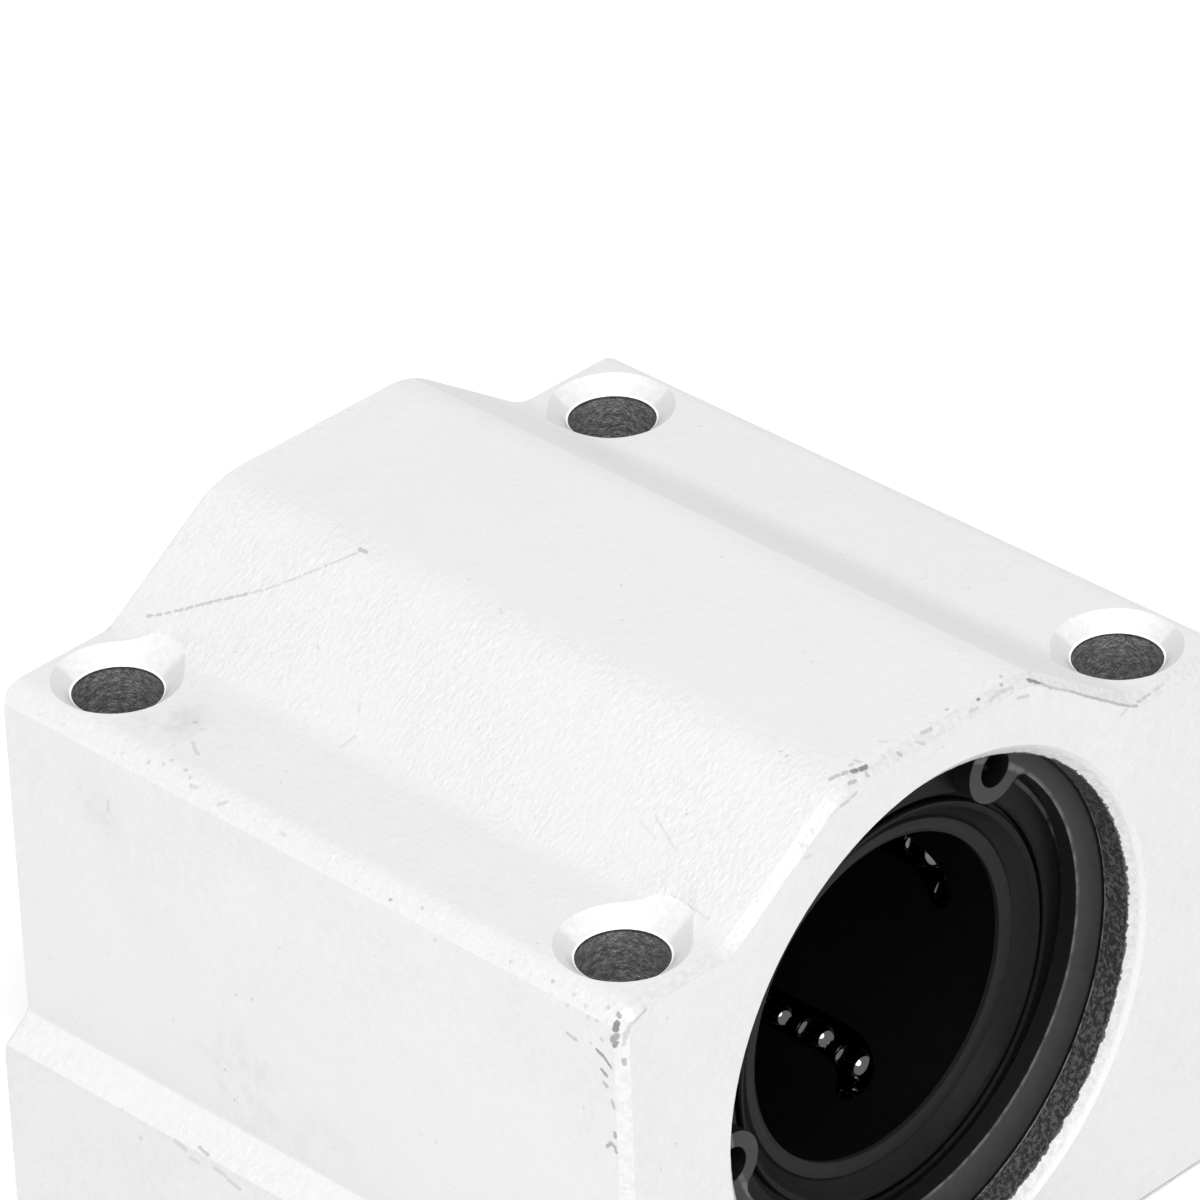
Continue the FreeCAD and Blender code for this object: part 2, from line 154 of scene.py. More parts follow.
SIDE_MARKS = [
    ((-24.74, -6.94, 34.27), None, 0.08, 0.09, 0.41),
    ((-24.46, -9.16, 34.59), None, 0.07, 0.09, 0.27),
    ((-25.0, -10.63, 33.43), None, 0.07, 0.09, 0.23),
    ((-24.67, -16.11, 34.37), None, 0.07, 0.09, 0.23),
    ((-24.6, -19.23, 34.46), None, 0.08, 0.09, 0.32),
    ((-25.0, 7.3, 16.47), None, 0.07, 0.09, 0.27),
    ((-25.0, 6.71, 14.68), None, 0.07, 0.09, 0.23),
    ((-25.0, 4.61, 22.56), None, 0.06, 0.09, 0.23),
    ((-24.65, -20.86, 34.39), None, 0.08, 0.09, 0.20),
    ((-24.96, -20.68, 33.75), None, 0.08, 0.09, 0.16),
    ((-24.8, -21.9, 34.16), None, 0.11, 0.09, 0.16),
    ((-24.48, -23.31, 34.58), None, 0.08, 0.09, 0.23),
    ((-24.97, -22.19, 33.67), None, 0.10, 0.09, 0.16),
    ((-24.95, -22.85, 33.77), None, 0.08, 0.09, 0.18),
    ((-25.0, -23.22, 32.73), None, 0.10, 0.09, 0.27),
    ((-25.0, -22.36, 32.08), None, 0.08, 0.09, 0.16),
    ((-25.0, -21.62, 27.54), None, 0.08, 0.09, 0.16),
    ((-25.0, -22.29, 27.39), None, 0.06, 0.09, 0.14),
    ((-25.0, 15.7, 30.98), (-25.0, 15.77, 30.28), 0.07, 0.11, 0.17),
    ((-24.46, 9.25, 34.59), (-24.42, 8.64, 34.63), 0.06, 0.09, 0.17),
    ((-24.61, 6.84, 34.45), (-24.36, 6.36, 34.67), 0.08, 0.09, 0.20),
    ((-24.53, -24.08, 34.52), (-24.54, -24.23, 34.4), 0.08, 0.09, 0.50),
    ((-24.91, -24.2, 33.74), (-24.77, -24.22, 34.06), 0.14, 0.09, 0.72),
    ((-25.0, -24.03, 33.05), (-24.87, -24.28, 33.36), 0.12, 0.13, 0.58),
    ((-24.99, -24.16, 32.72), (-24.91, -24.24, 32.91), 0.10, 0.11, 0.65),
    ((-25.0, -22.85, 31.86), (-25.0, -23.36, 31.64), 0.06, 0.09, 0.61),
    ((-25.0, -23.36, 31.64), (-25.0, -23.86, 31.16), 0.06, 0.09, 0.61),
    ((-25.0, -23.17, 30.7), (-25.0, -23.46, 30.51), 0.08, 0.09, 0.54),
    ((-25.0, -23.28, 29.91), (-25.0, -23.5, 29.81), 0.08, 0.11, 0.36),
    ((-25.0, -23.84, 28.99), (-25.0, -23.97, 28.59), 0.06, 0.09, 0.36),
    ((-25.0, -23.97, 26.89), (-25.0, -23.96, 26.68), 0.08, 0.09, 0.50),
    ((-25.0, -23.31, 25.78), (-25.0, -23.63, 26.13), 0.07, 0.09, 0.47),
    ((-25.0, -23.63, 26.13), (-25.0, -23.93, 26.01), 0.07, 0.09, 0.47),
    ((-25.0, -23.93, 26.01), (-25.0, -23.99, 25.71), 0.07, 0.09, 0.47),
    ((-23.55, -24.75, 34.19), (-24.26, -24.69, 34.01), 0.06, 0.11, 0.25),
    ((-24.26, -24.69, 34.01), (-24.52, -24.62, 33.47), 0.06, 0.11, 0.25),
    ((-24.52, -24.62, 33.47), (-24.62, -24.54, 32.83), 0.06, 0.11, 0.25),
    ((-24.64, -24.51, 31.79), (-24.61, -24.54, 31.53), 0.08, 0.09, 0.43),
    ((-25.0, -20.6, 31.92), (-25.0, -21.27, 31.78), 0.07, 0.09, 0.29),
]
FRONT_MARKS = [
    ((-21.51, -24.75, 32.99), None, 0.07, 0.09, 0.16),
    ((0.42, -24.75, 39.61), None, 0.06, 0.09, 0.16),
    ((-22.38, -24.75, 23.53), None, 0.06, 0.09, 0.16),
    ((-21.24, -24.75, 24.59), None, 0.06, 0.09, 0.14),
    ((-6.69, -24.45, 40.63), (-6.35, -24.51, 40.62), 0.08, 0.09, 0.36),
    ((-5.44, -24.47, 40.68), (-5.43, -24.61, 40.54), 0.06, 0.09, 0.32),
    ((-2.87, -24.45, 40.7), (-2.76, -24.57, 40.58), 0.07, 0.09, 0.34),
    ((-1.36, -24.46, 40.69), (-1.03, -24.66, 40.49), 0.06, 0.09, 0.23),
    ((-6.87, -24.75, 39.95), (-6.55, -24.75, 40.05), 0.07, 0.09, 0.27),
    ((-7.74, -24.75, 39.79), (-7.18, -24.75, 39.84), 0.07, 0.09, 0.26),
    ((-8.61, -24.75, 39.52), (-7.82, -24.75, 39.77), 0.04, 0.09, 0.10),
    ((-10.58, -24.5, 38.57), (-10.37, -24.74, 38.44), 0.06, 0.09, 0.14),
    ((-10.63, -24.75, 37.86), (-10.16, -24.75, 37.82), 0.06, 0.09, 0.15),
    ((-9.74, -24.47, 39.18), (-9.73, -24.68, 38.94), 0.05, 0.09, 0.12),
    ((6.48, -24.75, 39.89), (7.37, -24.75, 39.59), 0.06, 0.09, 0.26),
    ((5.35, -24.45, 40.7), (6.22, -24.55, 40.58), 0.06, 0.11, 0.19),
    ((4.46, -24.52, 40.63), (5.12, -24.51, 40.64), 0.05, 0.11, 0.19),
    ((7.62, -24.46, 40.4), (8.44, -24.61, 39.87), 0.07, 0.09, 0.68),
    ((8.44, -24.61, 39.87), (9.29, -24.72, 39.18), 0.06, 0.09, 0.34),
    ((9.29, -24.72, 39.18), (10.84, -24.66, 38.22), 0.04, 0.09, 0.24),
    ((10.84, -24.66, 38.22), (12.0, -24.72, 37.36), 0.05, 0.09, 0.36),
    ((12.0, -24.72, 37.36), (13.41, -24.72, 36.42), 0.05, 0.09, 0.41),
    ((13.41, -24.72, 36.42), (15.07, -24.73, 35.29), 0.05, 0.09, 0.38),
    ((15.07, -24.73, 35.29), (16.33, -24.72, 34.61), 0.05, 0.09, 0.36),
    ((16.59, -24.57, 34.69), (17.69, -24.49, 34.66), 0.04, 0.09, 0.29),
    ((18.15, -24.46, 34.69), (18.87, -24.42, 34.73), 0.03, 0.09, 0.17),
    ((15.46, -24.75, 34.84), (14.87, -24.75, 34.6), 0.03, 0.07, 0.22),
    ((2.88, -24.49, 40.66), (3.46, -24.54, 40.61), 0.05, 0.11, 0.19),
    ((-23.55, -24.75, 34.19), (-24.26, -24.69, 34.01), 0.06, 0.11, 0.25),
    ((-24.26, -24.69, 34.01), (-24.52, -24.62, 33.47), 0.06, 0.11, 0.25),
    ((-24.52, -24.62, 33.47), (-24.62, -24.54, 32.83), 0.06, 0.11, 0.25),
    ((-24.64, -24.51, 31.79), (-24.61, -24.54, 31.53), 0.08, 0.09, 0.43),
    ((-23.09, -24.75, 34.34), (-23.55, -24.75, 34.19), 0.06, 0.09, 0.32),
]
EDGE_MARKS = [
    ((3.8, -24.27, 40.88), None, 0.08, 0.09, 0.72),
    ((1.78, -23.75, 41.0), None, 0.08, 0.09, 0.36),
    ((6.24, -23.71, 40.98), None, 0.08, 0.09, 0.32),
    ((5.72, -24.23, 40.92), None, 0.08, 0.09, 0.38),
    ((-21.51, -24.75, 32.99), None, 0.07, 0.09, 0.16),
    ((0.42, -24.75, 39.61), None, 0.06, 0.09, 0.16),
    ((-22.38, -24.75, 23.53), None, 0.06, 0.09, 0.16),
    ((-21.24, -24.75, 24.59), None, 0.06, 0.09, 0.14),
    ((-7.32, -23.57, 40.82), (-6.85, -23.73, 40.92), 0.08, 0.11, 0.32),
    ((-6.64, -23.89, 40.95), (-6.41, -23.91, 40.98), 0.10, 0.11, 0.36),
    ((-6.14, -24.1, 40.99), (-5.91, -24.18, 40.97), 0.11, 0.11, 0.72),
    ((-5.58, -24.24, 40.91), (-5.22, -24.28, 40.87), 0.10, 0.11, 0.72),
    ((-5.25, -23.49, 41.0), (-5.22, -23.83, 41.0), 0.07, 0.11, 0.23),
    ((-6.69, -24.45, 40.63), (-6.35, -24.51, 40.62), 0.08, 0.09, 0.36),
    ((-5.44, -24.47, 40.68), (-5.43, -24.61, 40.54), 0.06, 0.09, 0.32),
    ((-2.87, -24.45, 40.7), (-2.76, -24.57, 40.58), 0.07, 0.09, 0.34),
    ((-0.74, -24.26, 40.89), (-0.07, -24.31, 40.84), 0.06, 0.09, 0.27),
    ((-1.36, -24.46, 40.69), (-1.03, -24.66, 40.49), 0.06, 0.09, 0.23),
    ((-6.87, -24.75, 39.95), (-6.55, -24.75, 40.05), 0.07, 0.09, 0.27),
    ((-7.74, -24.75, 39.79), (-7.18, -24.75, 39.84), 0.07, 0.09, 0.26),
    ((-8.61, -24.75, 39.52), (-7.82, -24.75, 39.77), 0.04, 0.09, 0.10),
    ((-10.58, -24.5, 38.57), (-10.37, -24.74, 38.44), 0.06, 0.09, 0.14),
    ((-10.63, -24.75, 37.86), (-10.16, -24.75, 37.82), 0.06, 0.09, 0.15),
    ((-9.74, -24.47, 39.18), (-9.73, -24.68, 38.94), 0.05, 0.09, 0.12),
    ((6.48, -24.75, 39.89), (7.37, -24.75, 39.59), 0.06, 0.09, 0.26),
    ((5.35, -24.45, 40.7), (6.22, -24.55, 40.58), 0.06, 0.11, 0.19),
    ((4.46, -24.52, 40.63), (5.12, -24.51, 40.64), 0.05, 0.11, 0.19),
    ((7.62, -24.46, 40.4), (8.44, -24.61, 39.87), 0.07, 0.09, 0.68),
    ((8.44, -24.61, 39.87), (9.29, -24.72, 39.18), 0.06, 0.09, 0.34),
    ((9.29, -24.72, 39.18), (10.84, -24.66, 38.22), 0.04, 0.09, 0.24),
    ((10.84, -24.66, 38.22), (12.0, -24.72, 37.36), 0.05, 0.09, 0.36),
    ((12.0, -24.72, 37.36), (13.41, -24.72, 36.42), 0.05, 0.09, 0.41),
    ((13.41, -24.72, 36.42), (15.07, -24.73, 35.29), 0.05, 0.09, 0.38),
    ((15.07, -24.73, 35.29), (16.33, -24.72, 34.61), 0.05, 0.09, 0.36),
    ((16.59, -24.57, 34.69), (17.69, -24.49, 34.66), 0.04, 0.09, 0.29),
    ((18.15, -24.46, 34.69), (18.87, -24.42, 34.73), 0.03, 0.09, 0.17),
    ((15.46, -24.75, 34.84), (14.87, -24.75, 34.6), 0.03, 0.07, 0.22),
    ((2.88, -24.49, 40.66), (3.46, -24.54, 40.61), 0.05, 0.11, 0.19),
    ((-24.53, -24.08, 34.52), (-24.54, -24.23, 34.4), 0.08, 0.09, 0.50),
    ((-24.91, -24.2, 33.74), (-24.77, -24.22, 34.06), 0.14, 0.09, 0.72),
    ((-25.0, -24.03, 33.05), (-24.87, -24.28, 33.36), 0.12, 0.13, 0.58),
    ((-24.99, -24.16, 32.72), (-24.91, -24.24, 32.91), 0.10, 0.11, 0.65),
    ((-25.0, -22.85, 31.86), (-25.0, -23.36, 31.64), 0.06, 0.09, 0.61),
    ((-25.0, -23.36, 31.64), (-25.0, -23.86, 31.16), 0.06, 0.09, 0.61),
    ((-25.0, -23.84, 28.99), (-25.0, -23.97, 28.59), 0.06, 0.09, 0.36),
    ((-25.0, -23.97, 26.89), (-25.0, -23.96, 26.68), 0.08, 0.09, 0.50),
    ((-25.0, -23.31, 25.78), (-25.0, -23.63, 26.13), 0.07, 0.09, 0.47),
    ((-25.0, -23.63, 26.13), (-25.0, -23.93, 26.01), 0.07, 0.09, 0.47),
    ((-25.0, -23.93, 26.01), (-25.0, -23.99, 25.71), 0.07, 0.09, 0.47),
    ((-23.55, -24.75, 34.19), (-24.26, -24.69, 34.01), 0.06, 0.11, 0.25),
    ((-24.26, -24.69, 34.01), (-24.52, -24.62, 33.47), 0.06, 0.11, 0.25),
    ((-24.52, -24.62, 33.47), (-24.62, -24.54, 32.83), 0.06, 0.11, 0.25),
    ((-24.64, -24.51, 31.79), (-24.61, -24.54, 31.53), 0.08, 0.09, 0.43),
    ((-23.09, -24.75, 34.34), (-23.55, -24.75, 34.19), 0.06, 0.09, 0.32),
]
LEDGE_MARKS = [
    ((-27.0, 12.75, 10.24), None, 0.08, 0.09, 0.23),
    ((-26.51, 8.29, 11.49), (-26.63, 7.43, 11.4), 0.05, 0.09, 0.32),
    ((-26.79, 10.0, 11.24), (-26.87, 9.01, 11.12), 0.06, 0.13, 0.16),
    ((-26.92, 6.65, 11.03), (-26.95, 5.65, 10.97), 0.06, 0.13, 0.18),
    ((-26.99, 5.45, 10.8), (-27.0, 4.47, 10.66), 0.06, 0.13, 0.18),
    ((-26.98, 8.59, 10.83), (-26.98, 7.85, 10.84), 0.06, 0.13, 0.14),
]
RIGHT_MARKS = [
    ((7.62, -24.46, 40.4), (8.44, -24.61, 39.87), 0.07, 0.09, 0.68),
    ((16.59, -24.57, 34.69), (17.69, -24.49, 34.66), 0.04, 0.09, 0.29),
    ((18.15, -24.46, 34.69), (18.87, -24.42, 34.73), 0.03, 0.09, 0.17),
]


# ---------------------------------------------------------------- node helpers
class Mat:
    """A small helper that builds a node material in code."""

    def __init__(self, name):
        self.m = bpy.data.materials.new(name)
        self.m.use_nodes = True
        self.t = self.m.node_tree
        self.t.nodes.clear()
        self.out = self.t.nodes.new("ShaderNodeOutputMaterial")
        self.b = self.t.nodes.new("ShaderNodeBsdfPrincipled")
        self.link(self.b.outputs[0], self.out.inputs[0])
        self._pos = None

    def link(self, a, b):
        self.t.links.new(a, b)

    def put(self, sock, v):
        if isinstance(v, bpy.types.NodeSocket):
            self.link(v, sock)
        else:
            sock.default_value = v

    def pos(self):
        if self._pos is None:
            n = self.t.nodes.new("ShaderNodeTexCoord")
            self._pos = n.outputs["Object"]
        return self._pos

    def math(self, op, a, b=0.0, c=0.0, clamp=False):
        n = self.t.nodes.new("ShaderNodeMath")
        n.operation = op
        n.use_clamp = clamp
        self.put(n.inputs[0], a)
        self.put(n.inputs[1], b)
        self.put(n.inputs[2], c)
        return n.outputs[0]

    def vec(self, op, a, b=(0, 0, 0)):
        n = self.t.nodes.new("ShaderNodeVectorMath")
        n.operation = op
        self.put(n.inputs[0], a)
        if op == "SCALE":
            self.put(n.inputs["Scale"], b)
        else:
            self.put(n.inputs[1], b)
        return n.outputs["Value"] if op in ("DOT_PRODUCT", "LENGTH", "DISTANCE") else n.outputs["Vector"]

    def xyz(self, v):
        n = self.t.nodes.new("ShaderNodeSeparateXYZ")
        self.link(v, n.inputs[0])
        return n.outputs

    def noise(self, scale, detail=2.0, rough=0.5, vec=None, dist=0.0):
        n = self.t.nodes.new("ShaderNodeTexNoise")
        n.inputs["Scale"].default_value = scale
        n.inputs["Detail"].default_value = detail
        n.inputs["Roughness"].default_value = rough
        n.inputs["Distortion"].default_value = dist
        self.link(vec if vec is not None else self.pos(), n.inputs["Vector"])
        return n.outputs["Fac"]

    def ramp(self, fac, lo, hi, a=0.0, b=1.0, smooth=True):
        n = self.t.nodes.new("ShaderNodeMapRange")
        n.interpolation_type = "SMOOTHSTEP" if smooth else "LINEAR"
        n.clamp = True
        self.put(n.inputs["Value"], fac)
        n.inputs["From Min"].default_value = lo
        n.inputs["From Max"].default_value = hi
        n.inputs["To Min"].default_value = a
        n.inputs["To Max"].default_value = b
        return n.outputs["Result"]

    def mix(self, fac, a, b):
        n = self.t.nodes.new("ShaderNodeMix")
        n.data_type = "RGBA"
        n.clamp_factor = True
        self.put(n.inputs[0], fac)
        self.put(n.inputs[6], a)
        self.put(n.inputs[7], b)
        return n.outputs[2]

    def bump(self, height, strength, distance, normal=None):
        n = self.t.nodes.new("ShaderNodeBump")
        n.inputs["Strength"].default_value = strength
        n.inputs["Distance"].default_value = distance
        self.link(height, n.inputs["Height"])
        if normal is not None:
            self.link(normal, n.inputs["Normal"])
        return n.outputs[0]

    def radius(self):
        """Distance from the bore axis, in metres."""
        x, y, z = self.xyz(self.pos())
        dz = self.math("SUBTRACT", z, AXIS_Z)
        return self.math("SQRT", self.math("ADD", self.math("MULTIPLY", x, x),
                                           self.math("MULTIPLY", dz, dz)))

    def segment(self, p, a, b, width, soft, depth):
        """depth on a line from a to b (mm), falling to 0 beyond width + soft (mm)."""
        a = Vector(a) * MM
        if b is None:
            d = self.vec("DISTANCE", p, tuple(a))
        else:
            e = Vector(b) * MM - a
            ap = self.vec("SUBTRACT", p, tuple(a))
            t = self.vec("DOT_PRODUCT", ap, tuple(e / e.length_squared))
            t = self.math("MINIMUM", self.math("MAXIMUM", t, 0.0), 1.0)
            d = self.vec("DISTANCE", ap, self.vec("SCALE", tuple(e), t))
        return self.ramp(d, width * MM, (width + soft) * MM, depth, 0.0)

    def marks(self, marks, wobble=0.10):
        """All marks together, with ragged outlines."""
        n = self.t.nodes.new("ShaderNodeTexNoise")
        n.inputs["Scale"].default_value = 5200.0
        n.inputs["Detail"].default_value = 1.0
        self.link(self.pos(), n.inputs["Vector"])
        off = self.vec("SCALE", self.vec("SUBTRACT", n.outputs["Color"], (0.5, 0.5, 0.5)), 2 * wobble * MM)
        p = self.vec("ADD", self.pos(), off)
        total = None
        for a, b, w, s, k in marks:
            m = self.segment(p, a, b, w, s, k)
            total = m if total is None else self.math("MAXIMUM", total, m)
        return total

    def near(self, c, r0, r1, depth=1.0):
        """depth around a point (mm), falling to 0 between radii r0 and r1 (mm)."""
        d = self.vec("DISTANCE", self.pos(), tuple(Vector(c) * MM))
        return self.ramp(d, r0 * MM, r1 * MM, depth, 0.0)


def grey(v):
    return (v, v, v, 1.0)


# ---------------------------------------------------------------- aluminium
def aluminium(name, tone=0.745, grain=0.5, fine=0.35, marks=(), smudges=(), specks=0.0, speck_zone=None,
              rough=0.52, metallic=0.3, scale=1300.0, stretch=(1.0, 1.6, 1.6), zones=()):
    """Blasted light alloy: wrinkled grain, cloudy tone, small dark pits, and its own marks."""
    m = Mat(name)
    b = m.b
    p = m.vec("MULTIPLY", m.pos(), stretch)
    wrinkle = m.noise(scale, 2.0, 0.5, vec=p, dist=0.35)
    pit = m.noise(5200.0, 2.0, 0.55)
    cloud = m.noise(110.0, 3.0, 0.55)
    patch = m.ramp(m.noise(230.0, 2.0, 0.5), 0.35, 0.62, 0.6, 1.0)
    h = m.math("ADD", wrinkle, m.math("MULTIPLY", pit, fine))
    h = m.math("MULTIPLY", h, patch)
    base = m.mix(m.ramp(cloud, 0.3, 0.7), grey(tone * 1.008), grey(tone * 0.99))
    base = m.mix(m.math("MULTIPLY", patch, m.ramp(wrinkle, 0.40, 0.66, 0.0, 0.30 * grain)), base, grey(tone * 0.87))
    base = m.mix(m.ramp(wrinkle, 0.36, 0.24, 0.0, 0.5 * grain), base, grey(min(0.98, tone * 1.10)))
    dark = m.ramp(m.noise(1900.0, 1.0, 0.5), 0.775, 0.81, 0.0, 0.16)
    if specks:
        zone = speck_zone(m)
        fine_spot = m.noise(3600.0, 2.0, 0.6)
        base = m.mix(m.math("MULTIPLY", zone, m.ramp(fine_spot, 0.52, 0.60, 0.0, 0.9 * specks)), base,
                     grey(min(0.98, tone * 1.10)))
        sp = m.ramp(m.noise(2700.0, 2.0, 0.55), 0.64, 0.72, 0.0, 0.30 * specks)
        dark = m.math("MAXIMUM", dark, m.math("MULTIPLY", sp, zone))
    for zone, k in zones:
        base = m.mix(zone(m), base, grey(tone * k))
    if smudges:
        blot = m.noise(420.0, 3.0, 0.7)
        for c, r0, r1, k in smudges:
            dark = m.math("MAXIMUM", dark,
                          m.math("MULTIPLY", m.near(c, r0, r1, k), m.ramp(blot, 0.35, 0.72)))
    if marks:
        dark = m.math("MAXIMUM", dark, m.marks(marks))
    base = m.mix(dark, base, grey(0.06))
    m.put(b.inputs["Base Color"], base)
    b.inputs["Metallic"].default_value = metallic
    m.put(b.inputs["Roughness"], m.ramp(cloud, 0.25, 0.75, rough, rough + 0.08))
    h = m.math("SUBTRACT", h, m.math("MULTIPLY", dark, 0.8))
    m.put(b.inputs["Normal"], m.bump(h, 0.34 * grain, 0.00030))
    return m.m


def edge_metal(marks):
    """Milled edge break round the end faces, polished bright by handling, pitted here and there."""
    m = Mat("worn_edge")
    b = m.b
    n = m.noise(2300.0, 2.0, 0.6)
    w = m.noise(700.0, 2.0, 0.6)
    base = m.mix(m.ramp(n, 0.36, 0.66), grey(0.70), grey(0.635))
    dark = m.ramp(m.noise(3300.0, 2.0, 0.6), 0.64, 0.76, 0.0, 0.22)
    dark = m.math("MULTIPLY", dark, m.ramp(w, 0.4, 0.6))
    dark = m.math("MAXIMUM", dark, m.marks(marks))
    m.put(b.inputs["Base Color"], m.mix(dark, base, grey(0.05)))
    b.inputs["Metallic"].default_value = 0.35
    b.inputs["Roughness"].default_value = 0.46
    m.put(b.inputs["Normal"], m.bump(m.math("SUBTRACT", n, dark), 0.35, 0.00012))
    return m.m


def bore_metal():
    """Bored wall in front of the ring groove: painted shade makes it dark, with a fine speckle, and a painted
    highlight along the groove's front edge.
    """
    m = Mat("bored_wall")
    b = m.b
    sp = m.noise(3400.0, 2.0, 0.7)
    x, y, z = m.xyz(m.pos())
    ay = m.math("ABSOLUTE", y)
    base = m.mix(m.ramp(sp, 0.42, 0.64), grey(0.034), grey(0.125))
    # Painted highlight: a light band along the front edge of the ring groove.
    lip = m.math("MULTIPLY", m.ramp(ay, GROOVE_FRONT - 0.00002, GROOVE_FRONT + 0.00014, 1.0, 0.0),
                 m.ramp(m.noise(1300.0, 2.0), 0.34, 0.6, 0.1, 1.0))
    base = m.mix(lip, base, grey(0.30))
    m.put(b.inputs["Base Color"], base)
    b.inputs["Metallic"].default_value = 0.35
    m.put(b.inputs["Roughness"], m.ramp(sp, 0.3, 0.7, 0.55, 0.7))
    m.put(b.inputs["Normal"], m.bump(sp, 0.9, 0.00016))
    return m.m


def mouth_metal():
    """Hand-broken chamfer at the mouth of the bore, with painted shade in a ragged band at its inner edge and a
    painted highlight along its outer edge.
    """
    m = Mat("mouth_chamfer")
    b = m.b
    n = m.noise(2600.0, 2.0, 0.6)
    r = m.radius()
    base = m.mix(m.ramp(n, 0.38, 0.64), grey(0.69), grey(0.60))
    # Painted highlight along the outer edge of the chamfer.
    ridge_highlight = m.ramp(m.math("ADD", r, m.math("MULTIPLY", m.math("SUBTRACT", n, 0.5), 0.0003)),
                   MOUTH_OUT - 0.00036, MOUTH_OUT - 0.00020)
    base = m.mix(ridge_highlight, base, grey(0.74))
    # Painted shade: a near-black ragged band at the inner edge of the chamfer.
    ragged = m.math("ADD", r, m.math("MULTIPLY", m.math("SUBTRACT", m.noise(1500.0, 3.0, 0.7), 0.5), 0.00042))
    base = m.mix(m.ramp(ragged, MOUTH_IN + 0.00004, MOUTH_IN + 0.00010, 1.0, 0.0), base, grey(0.07))
    m.put(b.inputs["Base Color"], base)
    b.inputs["Metallic"].default_value = 0.3
    b.inputs["Roughness"].default_value = 0.5
    m.put(b.inputs["Normal"], m.bump(n, 0.4, 0.00015))
    return m.m


def groove_metal():
    m = Mat("ring_groove")
    b = m.b
    n = m.noise(3000.0, 2.0, 0.5)
    # Painted shade: the groove wall is coloured near black for the shadow in the groove.
    m.put(b.inputs["Base Color"], m.mix(m.ramp(n, 0.35, 0.65), grey(0.006), grey(0.012)))
    b.inputs["Metallic"].default_value = 0.3
    b.inputs["Roughness"].default_value = 0.6
    m.put(b.inputs["Normal"], m.bump(n, 0.3, 0.0001))
    return m.m


def hole_metal():
    """Drilled and tapped screw hole: painted shade darkens the wall, with lighter flecks and a painted shade band at
    the top edge.
    """
    m = Mat("drilled_hole")
    b = m.b
    mark = m.noise(2400.0, 3.0, 0.7)
    fleck = m.ramp(m.noise(4200.0, 2.0, 0.65), 0.58, 0.72, 0.0, 0.6)
    base = m.mix(m.ramp(mark, 0.36, 0.64), grey(0.20), grey(0.34))
    base = m.mix(fleck, base, grey(0.62))
    x, y, z = m.xyz(m.pos())
    # Painted shade: a dark band round the top edge of the hole, just below the countersink.
    base = m.mix(m.ramp(z, SINK_FOOT - 0.00022, SINK_FOOT - 0.00012, 0.0, 0.75), base, grey(0.05))
    m.put(b.inputs["Base Color"], base)
    b.inputs["Metallic"].default_value = 0.5
    b.inputs["Roughness"].default_value = 0.45
    turn = m.math("ARCTAN2", m.math("SUBTRACT", m.math("ABSOLUTE", y), 0.020),
                  m.math("SUBTRACT", m.math("ABSOLUTE", x), 0.020))
    pitch = m.math("ADD", m.math("DIVIDE", z, 0.001), m.math("DIVIDE", turn, 2 * math.pi))
    saw = m.math("PINGPONG", pitch, 0.5)
    thread = m.math("MULTIPLY", saw, m.ramp(z, 0.0118, 0.0124, 2.0, 0.0))
    m.put(b.inputs["Normal"], m.bump(m.math("ADD", thread, mark), 0.8, 0.00025))
    return m.m


def sink_metal():
    """Countersink cone: painted highlight on the far side, painted shade at its flanks, and a painted highlight round
    its inner rim.
    """
    m = Mat("countersink")
    b = m.b
    n = m.noise(2400.0, 3.0, 0.62)
    x, y, z = m.xyz(m.pos())
    hx = m.math("MULTIPLY", m.math("SIGN", x), 0.020)
    hy = m.math("MULTIPLY", m.math("SIGN", y), 0.020)
    dx = m.math("SUBTRACT", x, hx)
    dy = m.math("SUBTRACT", y, hy)
    r = m.math("SQRT", m.math("ADD", m.math("MULTIPLY", dx, dx), m.math("MULTIPLY", dy, dy)))
    along = m.math("ADD", m.math("MULTIPLY", dx, 0.70), m.math("MULTIPLY", dy, 0.714))
    cosine = m.math("DIVIDE", along, r)
    cosine = m.math("ADD", cosine, m.math("MULTIPLY", m.math("SUBTRACT", m.noise(900.0, 2.0), 0.5), 0.12))
    base = m.mix(m.ramp(n, 0.35, 0.68), grey(0.80), grey(0.74))
    # Painted light and shade: lighter on the far side of the cone, darker elsewhere.
    base = m.mix(m.ramp(cosine, 0.36, 0.50, 0.75, 0.0), base, grey(0.62))
    # Painted shade: dark wedges at the flanks of the cone.
    flank_shade = m.math("MULTIPLY", m.ramp(r, 0.0027, 0.0033, 1.0, 0.0), m.ramp(m.math("ABSOLUTE", m.math("ADD", cosine, 0.30)), 0.0, 0.45, 1.0, 0.0))
    base = m.mix(m.math("MULTIPLY", flank_shade, 0.55), base, grey(0.34))
    # Painted highlight: a thin bright ring round the inner rim of the cone.
    base = m.mix(m.ramp(r, HOLE_R + 0.00007, HOLE_R + 0.00013, 1.0, 0.0), base, grey(0.97))
    m.put(b.inputs["Base Color"], base)
    b.inputs["Metallic"].default_value = 0.2
    b.inputs["Roughness"].default_value = 0.5
    m.put(b.inputs["Normal"], m.bump(n, 0.3, 0.00012))
    return m.m


